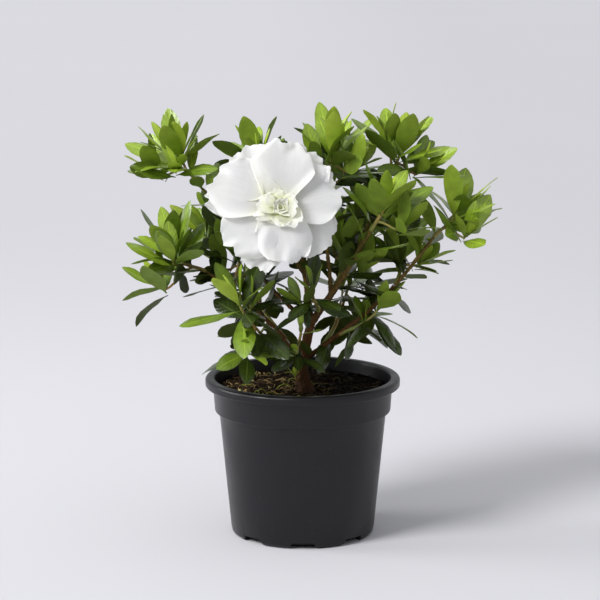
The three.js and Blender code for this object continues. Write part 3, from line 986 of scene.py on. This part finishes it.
def build_shoots(plant, size):
    """This year's shoots and the buds at their tips."""
    shapes = Pieces()
    for shoot in plant.shoots:
        verts, faces = tube(shoot.points, shoot.radii, 7)
        shapes.add(verts, faces, [0] * len(faces))
    for tip, axis in plant.buds:
        steps = np.linspace(0, 1, 5)
        points = [tip + axis * share * size.bud_length for share in steps]
        swell = [math.sin(math.pi * (0.28 + 0.7 * share)) for share in steps]
        radii = [size.bud_length * 0.24 * part + 0.00002 for part in swell]
        verts, faces = tube(points, radii, 6)
        shapes.add(verts, faces, [1] * len(faces))
    shoots = shapes.to_object("shoots", [young_bark(tuple(size.shoot_green), tuple(size.shoot_ruddy)),
                                         leaf_soft("bud_scale", (0.2, 0.26, 0.05))])
    finish_piece(shoots, [])


# ---------------------------------------------------------------- leaves

TOP_COLUMNS = (-1.0, -0.56, -0.07, 0.07, 0.56, 1.0)
MIDRIB_COLUMN = 2
ROW_SHARES = (0.0, 0.1, 0.25, 0.43, 0.6, 0.76, 0.88, 0.965, 1.0)
STALK_SHARE = 0.06
BROADEST = 0.57
TIP_POWER = 0.76
MARGIN_CURL = 0.28
MARGIN_WAVE = 0.08


def leaf_outline(share):
    """Half width of a leaf over its greatest: wedge foot, broadest past the middle, short point."""
    blade = max(0.0, (share - STALK_SHARE) / (1 - STALK_SHARE))
    peak = BROADEST * (1 - BROADEST) ** TIP_POWER
    return max(blade * max(1 - blade, 0.0) ** TIP_POWER / peak, 0.07 if share < 0.9 else 0.0)


def leaf_mesh(leaf, thickness):
    """One leaf as a closed lens: folded along its midrib, arched, twisted, with its own underside."""
    way, normal = leaf["way"], leaf["normal"]
    side = turned(np.cross(normal, way), way, leaf["roll"])
    normal = turned(normal, way, leaf["roll"])
    point = leaf["base"].copy()
    points, places, rows = [], [], []
    before = 0.0
    for share in ROW_SHARES:
        bend = leaf["curve"] * 2 * share * (share - before)
        way, normal = turned(way, side, bend), turned(normal, side, bend)
        point = point + way * leaf["length"] * (share - before)
        before = share
        spin = leaf["twist"] * share
        across_leaf, up = turned(side, way, spin), turned(normal, way, spin)
        width = leaf["width"] * 0.5 * leaf_outline(share)
        top = []
        for column in [0.0] if share == 1.0 else TOP_COLUMNS:
            aside = abs(column)
            height = width * (leaf["fold"] * aside - MARGIN_CURL * aside ** 2.2)
            wave = math.sin(9 * share + 3 * column + 40 * leaf["twist"])
            height += MARGIN_WAVE * width * aside ** 3 * wave
            top.append(len(points))
            points.append(point + across_leaf * width * column + up * height)
            places.append((0.5 + 0.5 * column, share))
        under = [top[0], top[-1]]
        if share < 1.0:
            under.insert(1, len(points))
            points.append(point - up * thickness)
            places.append((0.5, share))
        rows.append((top, under))
    faces, finishes, sharp = [], [], []
    for (top, under), (next_top, next_under) in zip(rows, rows[1:]):
        last = len(next_top) == 1
        for column in range(len(top) - 1):
            corner = [next_top[0]] if last else [next_top[column], next_top[column + 1]]
            faces.append((top[column + 1], top[column], *corner))
            finishes.append(1 if column == MIDRIB_COLUMN else 0)
        for column in range(len(under) - 1):
            corner = [next_top[0]] if last else [next_under[column + 1], next_under[column]]
            faces.append((under[column], under[column + 1], *corner))
            finishes.append(2)
        sharp.append((top[0], next_top[0]))
        sharp.append((top[-1], next_top[-1]))
    first_top, first_under = rows[0]
    faces.append((*first_top, first_under[1]))
    finishes.append(2)
    return points, faces, finishes, places, sharp


def build_leaves(plant, size):
    """One piece of leaves for each green."""
    greens = {"deep": size.green_deep, "full": size.green_full, "fresh": size.green_fresh,
              "young": size.green_young}
    for kind, green in greens.items():
        colour = tuple(green)
        shapes = Pieces()
        for leaf in plant.leaves:
            if leaf["kind"] == kind:
                points, faces, finishes, places, sharp = leaf_mesh(leaf, size.leaf_thickness)
                shapes.add(points, faces, finishes, places, sharp)
        rib = tuple(1.35 * channel + 0.1 * pale for channel, pale in zip(colour, size.rib_pale))
        back = tuple(0.6 * channel + 0.4 * pale for channel, pale in zip(colour, size.under_pale))
        piece = shapes.to_object("leaves_" + kind, [leaf_top("leaf_" + kind, colour, size.leaf_roughness),
                                                    leaf_soft("rib_" + kind, rib, 0.5),
                                                    leaf_soft("underside_" + kind, back)])
        finish_piece(piece, MASSES)


# ---------------------------------------------------------------- flower

def petal_sheet(name, rule, axes, centre, reach, width, turn, depth=0.0, cup=0.0, flare=0.0, ruffle=0.0,
                tilt=0.0, erect=0.0, curl=0.0, cells=22, claw=0.34, thickness=0.00045):
    """One petal: a gridded sheet rounded to its outline, cupped, flared and ruffled, then given thickness."""
    clear_selection()
    bpy.ops.mesh.primitive_grid_add(x_subdivisions=cells, y_subdivisions=cells, size=2)
    petal = bpy.context.object
    petal.name = name
    right, high, out = axes
    radial = right * math.cos(turn) + high * math.sin(turn)
    side = np.cross(out, radial)
    along = radial * math.cos(erect) + out * math.sin(erect)
    face = out * math.cos(erect) - radial * math.sin(erect)
    waves = [(rule.uniform(low, high_pitch), rule.uniform(0, 2 * math.pi), size)
             for low, high_pitch, size in ((2.0, 3.4, 1.0), (4.5, 6.5, 0.6), (9.0, 13.0, 0.28))]
    pleat, pleat_phase = rule.uniform(4.0, 6.5), rule.uniform(0, 2 * math.pi)
    lean = rule.uniform(-0.1, 0.1)
    notch = rule.uniform(0.0, 0.04)
    for vertex in petal.data.vertices:
        u, v = vertex.co.x, vertex.co.y
        front = max(0.0, v)
        round_u = u * math.sqrt(1 - 0.5 * front * front)
        s = 0.5 + 0.5 * v * (math.sqrt(1 - 0.44 * u * u) if v > 0 else 1)
        breadth = claw + (1 - claw) * math.sin(math.pi / 2 * min(1.0, s / 0.62)) ** 1.15
        margin = max(abs(u), front) ** 3
        wander = sum(size * math.sin(pitch * (u + 1.3 * s) + phase) for pitch, phase, size in waves)
        ragged = sum(size * math.sin(2.1 * pitch * (u - 0.8 * s) + phase) for pitch, phase, size in waves)
        s += margin * 0.03 * ragged - notch * math.exp(-(u / 0.16) ** 2) * front
        lift = depth + cup * math.sin(math.pi / 2 * min(1.0, s / 0.55)) - flare * s ** 2.2
        lift += ruffle * margin * wander + tilt * round_u * s + curl * round_u * round_u
        lift += 0.3 * ruffle * math.sin(pleat * u / (0.4 + s) + pleat_phase) * s * s
        aside = round_u * breadth * width / 2 + lean * width * s * s
        vertex.co = centre + along * s * reach + side * aside + face * lift
    apply_modifier(petal, "SOLIDIFY", thickness=thickness, offset=0.0)
    return petal


def join_pieces(name, pieces, material):
    """Joins petals into one piece, smooth and with its finish."""
    for piece in pieces:
        piece.data.materials.append(material)
    make_active(pieces[0])
    for piece in pieces:
        piece.select_set(True)
    bpy.ops.object.join()
    joined = bpy.context.object
    joined.name = name
    bpy.ops.object.mode_set(mode="EDIT")
    bpy.ops.mesh.select_all(action="SELECT")
    bpy.ops.mesh.normals_make_consistent(inside=False)
    bpy.ops.object.mode_set(mode="OBJECT")
    bpy.ops.object.shade_smooth_by_angle(angle=math.radians(60))
    return joined


def flower_axes(size):
    """The flower's right, its top and the way it faces."""
    level = math.cos(size.flower_tilt)
    out = np.array([math.sin(size.flower_turn) * level, -math.cos(size.flower_turn) * level,
                    math.sin(size.flower_tilt)])
    high = across(out)
    return np.cross(high, out), high, out


# Turn in degrees, reach and width over the flower's radius, depth and edge tilt in mm, forwards.
BROAD_PETALS = (
    (155, 1.03, 1.00, 1.2, 0.4),
    (116, 0.99, 0.90, -0.4, 0.0),
    (80, 0.96, 1.00, 3.2, 0.3),
    (16, 0.97, 1.00, 0.2, -0.8),
    (-82, 0.93, 0.88, 3.4, 0.6),
    (-134, 0.98, 0.96, -0.2, -0.6),
    (48, 1.0, 0.86, -4.0, 0.0),
    (-36, 1.02, 0.94, -6.5, 1.5),
    (-106, 1.04, 0.76, -5.0, 0.0),
    (174, 1.06, 0.62, -4.0, 0.0),
)
# Turn and erectness in degrees, reach and width in mm.
HEART_PETALS = (
    (-8, 50, 14.0, 13.0), (-50, 28, 17.0, 16.0), (-98, 30, 14.5, 14.0), (-150, 20, 14.0, 15.0),
    (165, 16, 16.0, 15.0), (118, 22, 13.5, 14.0), (72, 30, 12.0, 15.0), (32, 38, 13.0, 11.0),
    (-30, 58, 10.0, 9.0), (-125, 50, 9.0, 9.0), (140, 46, 9.5, 10.0), (60, 56, 9.0, 9.0),
    (178, 33, 19.0, 9.0), (150, 38, 17.0, 8.0), (200, 26, 20.0, 9.5),
)


def build_flower(size):
    """The double flower: two rounds of broad petals and a heart of small curled ones."""
    rule = random.Random(size.seed)
    axes = flower_axes(size)
    right, high, out = axes
    low_corner, high_corner = np.array(FLOWER_LOW), np.array(FLOWER_HIGH)
    set_back = out * 3 * MM
    centre = (low_corner + high_corner) / 2 + right * size.heart_aside + high * size.heart_rise - set_back
    white, throat = tuple(size.petal_white), tuple(size.petal_throat)
    radius = size.flower_radius
    broad = []
    for index, (turn, reach, width, depth, tilt) in enumerate(BROAD_PETALS):
        broad.append(petal_sheet(f"petal_{index}", rule, axes, centre, reach * radius, width * radius,
                                 math.radians(turn), depth * MM, cup=size.petal_cup,
                                 flare=rule.uniform(0.6, 1.1) * size.petal_cup,
                                 ruffle=rule.uniform(0.8, 1.2) * size.petal_ruffle, tilt=tilt * MM))
    pale_throat = tuple(0.6 * plain + 0.4 * tint for plain, tint in zip(white, throat))
    broad = join_pieces("flower_petals", broad, petal_finish("petal_white", white, pale_throat, 0.42))
    finish_piece(broad, ["flower"])
    heart = []
    middle = centre + set_back + right * size.heart_shift - high * size.heart_drop
    for index, (turn, erect, reach, width) in enumerate(HEART_PETALS):
        heart.append(petal_sheet(f"heart_{index}", rule, axes, middle, reach * MM, width * MM,
                                 math.radians(turn), cup=1.5 * MM, flare=rule.uniform(0, 4) * MM,
                                 ruffle=rule.uniform(0.3, 0.5) * size.petal_ruffle,
                                 tilt=rule.uniform(-2, 2) * MM, erect=math.radians(erect),
                                 curl=rule.uniform(-1.0, 2.5) * MM,
                                 cells=12, claw=0.5, thickness=0.0004))
    for index in range(size.curl_petals):
        share = (index + 0.5) / size.curl_petals
        heart.append(petal_sheet(f"curl_{index}", rule, axes, middle, (5.2 + 3.4 * share) * MM,
                                 (4.6 + 3.0 * share) * MM, index * GOLDEN_ANGLE, cup=0.6 * MM,
                                 flare=rule.uniform(-1.5, 1.5) * MM, ruffle=0.22 * size.petal_ruffle,
                                 erect=math.radians(70 - 24 * share), curl=rule.uniform(0.6, 1.8) * MM,
                                 cells=8, claw=0.6, thickness=0.0004))
    heart = join_pieces("flower_heart", heart, petal_finish("petal_heart", white, throat, 1.0, 0.1))
    finish_piece(heart, ["flower"])


# ---------------------------------------------------------------- studio

def build_stage(stage):
    """The pale floor, the surrounding light, the key light, the side softbox and the camera."""
    clear_selection()
    bpy.ops.mesh.primitive_plane_add(size=stage.floor_size)
    floor = bpy.context.object
    floor.name = "studio_floor"
    bpy.ops.object.mode_set(mode="EDIT")
    bpy.ops.mesh.subdivide(number_cuts=4)
    bpy.ops.object.mode_set(mode="OBJECT")
    floor.data.materials.append(studio_paper(tuple(stage.floor_colour)))
    world = bpy.data.worlds.new("soft_studio")
    world.use_nodes = True
    world.node_tree.nodes["Background"].inputs["Color"].default_value = (*stage.world_colour, 1.0)
    world.node_tree.nodes["Background"].inputs["Strength"].default_value = stage.world_strength
    bpy.context.scene.world = world
    bpy.context.scene.view_settings.view_transform = "Standard"
    bpy.ops.object.light_add(type="SUN", location=(0, 0, 2))
    key = bpy.context.object
    key.name = "key_light"
    key.data.energy = stage.key_strength
    key.data.angle = stage.key_softness
    reach = math.cos(stage.key_height)
    key_way = Vector((math.sin(stage.key_turn) * reach, math.cos(stage.key_turn) * reach,
                      -math.sin(stage.key_height)))
    key.rotation_euler = key_way.to_track_quat("-Z", "Y").to_euler()
    aim = Vector((0, 0, 0.5 * CAD_BOX[1][2]))
    add_softbox("side_softbox", stage.side_place, aim, stage.side_size, stage.side_power, stage.side_spread)
    bpy.ops.object.camera_add(location=stage.camera_place)
    camera = bpy.context.object
    sight = Vector(stage.camera_aim) - Vector(stage.camera_place)
    camera.rotation_euler = sight.to_track_quat("-Z", "Y").to_euler()
    camera.data.angle = stage.camera_angle
    camera.data.clip_end = 60
    bpy.context.scene.camera = camera


def add_softbox(name, place, aim, size, power, spread):
    bpy.ops.object.light_add(type="AREA", location=place)
    lamp = bpy.context.object
    lamp.name = name
    lamp.data.shape = "SQUARE"
    lamp.data.size = size
    lamp.data.energy = power
    lamp.data.spread = spread
    lamp.rotation_euler = (aim - Vector(place)).to_track_quat("-Z", "Y").to_euler()


# ---------------------------------------------------------------- settings

def length(name, description, default):
    return bpy.props.FloatProperty(name=name, description=description, default=default, unit="LENGTH",
                                   precision=5)


def share(name, description, default):
    return bpy.props.FloatProperty(name=name, description=description, default=default, subtype="FACTOR")


def whole(name, description, default):
    return bpy.props.IntProperty(name=name, description=description, default=default, min=0)


def angle(name, description, degrees):
    return bpy.props.FloatProperty(name=name, description=description, default=math.radians(degrees),
                                   subtype="ANGLE")


def colour(name, description, default):
    return bpy.props.FloatVectorProperty(name=name, description=description, default=default, size=3,
                                         subtype="COLOR", min=0.0, max=1.0)


def place(name, description, default):
    return bpy.props.FloatVectorProperty(name=name, description=description, default=default, size=3,
                                         subtype="TRANSLATION", unit="LENGTH")


class AzaleaPotSettings(bpy.types.PropertyGroup):
    height: length("Height", "Height of the pot", POT_HIGH.z)
    rim_radius: length("Rim radius", "Outer radius of the rolled rim", POT_HIGH.x)
    rim_overhang: length("Rim overhang", "How far the rim stands out from the collar", 0.0052)
    rim_depth: length("Rim depth", "Height of the rolled rim", 0.006)
    rim_roll: length("Rim roll", "Rounding of the rim's lower edge", 0.0012)
    collar_radius: length("Collar radius", "Outer radius at the foot of the collar", 0.0588)
    step_radius: length("Step radius", "Outer radius just under the collar", 0.0558)
    step_height: length("Step height", "Height of the step under the collar", 0.0835)
    base_radius: length("Base radius", "Outer radius at the foot", 0.048)
    foot_round: length("Foot rounding", "Radius of the rounded foot", 0.0035)
    wall: length("Wall", "Thickness of the wall", 0.0016)
    floor: length("Floor", "Thickness of the floor", 0.0018)
    edge_round: length("Edge rounding", "Softness of moulded edges", 0.00035)
    notch_count: whole("Notches", "Number of drain notches", 8)
    notch_width: length("Notch width", "Width of a notch at the ground", 0.0195)
    notch_height: length("Notch height", "Height of a notch", 0.0042)
    notch_depth: length("Notch depth", "How far a notch runs in", 0.012)
    notch_reach: length("Notch reach", "Distance of a notch's middle from the axis", 0.046)
    notch_taper: share("Notch taper", "Width at the top over width at the ground", 0.72)
    sides: whole("Sides", "Faces round the pot", 192)
    colour: colour("Plastic", "Colour of the plastic", (0.0032, 0.003, 0.0052))
    mix_wave: length("Mix wave", "Height of the highest clod over the level", 0.0012)
    mix_rings: whole("Mix rings", "Rings of faces across the mix", 56)
    fibre_count: whole("Fibres", "Dark fibres on the mix", 640)
    chip_count: whole("Chips", "Bark chips on the mix", 380)
    grain_count: whole("Grains", "Pale grains on the mix", 9)
    green_count: whole("Green blades", "Fallen green blades on the mix", 18)
    crumb_seed: whole("Crumb seed", "Changes what lies where on the mix", 5)


class AzaleaPlantSettings(bpy.types.PropertyGroup):
    seed: whole("Seed", "Changes how shoots and leaves are dealt out", 31)
    whorl_leaves: whole("Rosette leaves", "Leaves in the rosette of a main shoot", 9)
    rosette_drop: share("Rosette drop", "How far a rosette's foot lies below the middle of its mass", 0.3)
    shade_thinning: share("Shade thinning", "Fullness of the lowest masses", 0.48)
    hang_height: share("Hang height", "Share of the crown's height under which old leaves hang", 0.42)
    hang_pull: share("Hang pull", "How strongly old leaves hang at the bottom of the crown", 2.1)
    low_lift: share("Low lift", "How much higher the rosettes of the lowest masses stand", 1.5)
    bare_share: share("Bare share", "Share of a bough that is bare from its foot", 0.42)
    bough_share: share("Bough share", "Thickness of a bough over its solid's", 0.85)
    side_shoots: whole("Side shoots", "Side shoots of a middling mass", 2)
    leaf_length: length("Leaf length", "Length of a full-grown leaf", 0.0405)
    leaf_spacing: length("Leaf spacing", "Distance between leaves down a shoot", 0.006)
    leaf_thickness: length("Leaf thickness", "Thickness of a leaf at its midrib", 0.000448)
    leaf_roughness: share("Leaf roughness", "Roughness of the upper side", 0.3)
    shoot_radius: length("Shoot radius", "Radius of a young shoot", 0.0011)
    bud_length: length("Bud length", "Length of the bud at a shoot's tip", 0.0065)
    root_count: whole("Buttresses", "Root buttresses at the foot of the trunk", 6)
    bark_foot: colour("Foot bark", "Bark at the ground", (0.055, 0.022, 0.006))
    bark_trunk: colour("Trunk bark", "Bark of the trunk", (0.135, 0.055, 0.015))
    bark_bough: colour("Bough bark", "Bark of the boughs", (0.15, 0.085, 0.022))
    bark_tip: colour("Tip bark", "Bark at the ends of the boughs", (0.2, 0.17, 0.034))
    shoot_green: colour("Green shoot", "Skin of green shoots", (0.2, 0.25, 0.05))
    shoot_ruddy: colour("Ruddy shoot", "Skin of ripening shoots", (0.34, 0.17, 0.05))
    # Deep green stands partly for old leaves and partly for painted shade inside and low in the crown.
    green_deep: colour("Deep green", "Old leaves inside the crown", (0.024, 0.042, 0.003))
    green_full: colour("Full green", "Full-grown leaves", (0.168, 0.262, 0.02))
    green_fresh: colour("Fresh green", "This year's leaves", (0.29, 0.42, 0.032))
    green_young: colour("Young green", "Newest leaves", (0.47, 0.62, 0.055))
    rib_pale: colour("Rib", "Pale green of the midrib", (0.3, 0.42, 0.1))
    under_pale: colour("Underside", "Pale green of the underside", (0.12, 0.165, 0.02))


class AzaleaFlowerSettings(bpy.types.PropertyGroup):
    seed: whole("Seed", "Changes the petals", 3)
    flower_radius: length("Flower radius", "Reach of a broad petal", 0.0425)
    heart_aside: length("Heart aside", "How far the petals' feet are right of the middle", 0.0016)
    heart_rise: length("Heart rise", "How far the petals' feet are above the middle", 0.0012)
    heart_shift: length("Heart shift", "How far the heart is right of the petals' feet", 0.0036)
    heart_drop: length("Heart drop", "How far the heart is below the petals' feet", 0.0036)
    petal_cup: length("Petal cup", "How far a broad petal bulges", 0.0027)
    petal_ruffle: length("Petal ruffle", "Depth of the ruffles along a petal's edge", 0.0027)
    flower_tilt: angle("Tilt", "How far the flower faces upwards", 17)
    flower_turn: angle("Turn", "How far the flower faces to the side", 2)
    curl_petals: whole("Curled petals", "Tiny curled petals in the middle of the heart", 6)
    petal_white: colour("White", "White of the petals", (0.965, 0.96, 0.92))
    petal_throat: colour("Throat", "Tint at the foot of the petals", (0.9, 0.95, 0.4))


class AzaleaStageSettings(bpy.types.PropertyGroup):
    floor_size: length("Floor size", "Side of the floor", 40.0)
    floor_colour: colour("Floor", "Colour of the floor", (0.68, 0.675, 0.709))
    world_colour: colour("World", "Colour of the surrounding light", (0.97, 0.98, 1.0))
    world_strength: share("World strength", "Strength of the surrounding light", 0.575)
    key_turn: angle("Key turn", "Compass turn of the key light's beam, from the far side to the right", 52)
    key_height: angle("Key height", "Height of the key light over the horizon", 38)
    key_softness: angle("Key softness", "Width of the key light as seen from the plant", 22)
    key_strength: share("Key strength", "Strength of the key light", 2.45)
    side_place: place("Side place", "Place of the side softbox", (-1.9, 0.2, 0.8))
    side_size: length("Side size", "Side of the side softbox", 0.9)
    side_power: share("Side power", "Power of the side softbox, in watts", 2.4)
    side_spread: angle("Side spread", "How widely the side softbox throws its light", 60)
    camera_place: place("Camera place", "Where the camera stands", (-0.0018, -1.7, 0.4924))
    camera_aim: place("Camera aim", "What the camera looks at", (-0.0018, 0.0, 0.1581))
    camera_angle: angle("Camera angle", "Width of the camera's view", 13.12)


# ---------------------------------------------------------------- operators

class AZALEA_OT_pot(bpy.types.Operator):
    """Moulds the nursery pot with its stepped collar, rolled rim and drain notches"""
    bl_idname = "azalea.pot"
    bl_label = "Mould Pot"

    def execute(self, context):
        build_pot(context.scene.azalea_pot)
        return {"FINISHED"}


class AZALEA_OT_mix(bpy.types.Operator):
    """Fills the pot with peat and scatters fibres, chips and grains on it"""
    bl_idname = "azalea.mix"
    bl_label = "Fill With Mix"

    def execute(self, context):
        mix = build_mix(context.scene.azalea_pot)
        build_crumbs(context.scene.azalea_pot, mix)
        return {"FINISHED"}


class AZALEA_OT_plant(bpy.types.Operator):
    """Grows the trunk, boughs, shoots and leaves by the seeded branching rule"""
    bl_idname = "azalea.plant"
    bl_label = "Grow Plant"

    def execute(self, context):
        size = context.scene.azalea_plant
        plant = Plant(size)
        plant.grow()
        build_limbs(plant, size)
        build_shoots(plant, size)
        build_leaves(plant, size)
        return {"FINISHED"}


class AZALEA_OT_flower(bpy.types.Operator):
    """Opens the double white flower"""
    bl_idname = "azalea.flower"
    bl_label = "Open Flower"

    def execute(self, context):
        build_flower(context.scene.azalea_flower)
        return {"FINISHED"}


class AZALEA_OT_stage(bpy.types.Operator):
    """Sets the pale floor, the soft lights and the camera"""
    bl_idname = "azalea.stage"
    bl_label = "Set Stage"

    def execute(self, context):
        build_stage(context.scene.azalea_stage)
        return {"FINISHED"}


class AZALEA_PT_panel(bpy.types.Panel):
    """Lists the steps of the azalea"""
    bl_label = "Potted Azalea"
    bl_idname = "AZALEA_PT_panel"
    bl_space_type = "VIEW_3D"
    bl_region_type = "UI"
    bl_category = "Azalea"

    def draw(self, context):
        for step in STEPS:
            self.layout.operator(step.bl_idname)


STEPS = (AZALEA_OT_pot, AZALEA_OT_mix, AZALEA_OT_plant, AZALEA_OT_flower, AZALEA_OT_stage)
SETTINGS = {
    "azalea_pot": AzaleaPotSettings,
    "azalea_plant": AzaleaPlantSettings,
    "azalea_flower": AzaleaFlowerSettings,
    "azalea_stage": AzaleaStageSettings,
}


def register():
    for group in (*SETTINGS.values(), *STEPS, AZALEA_PT_panel):
        bpy.utils.register_class(group)
    for name, group in SETTINGS.items():
        setattr(bpy.types.Scene, name, bpy.props.PointerProperty(type=group))


def unregister():
    for name in SETTINGS:
        delattr(bpy.types.Scene, name)
    for group in reversed((*SETTINGS.values(), *STEPS, AZALEA_PT_panel)):
        bpy.utils.unregister_class(group)


def main():
    register()
    bpy.ops.azalea.pot()
    bpy.ops.azalea.mix()
    bpy.ops.azalea.plant()
    bpy.ops.azalea.flower()
    bpy.ops.azalea.stage()
    bpy.context.view_layer.update()


if __name__ == "__main__":
    main()
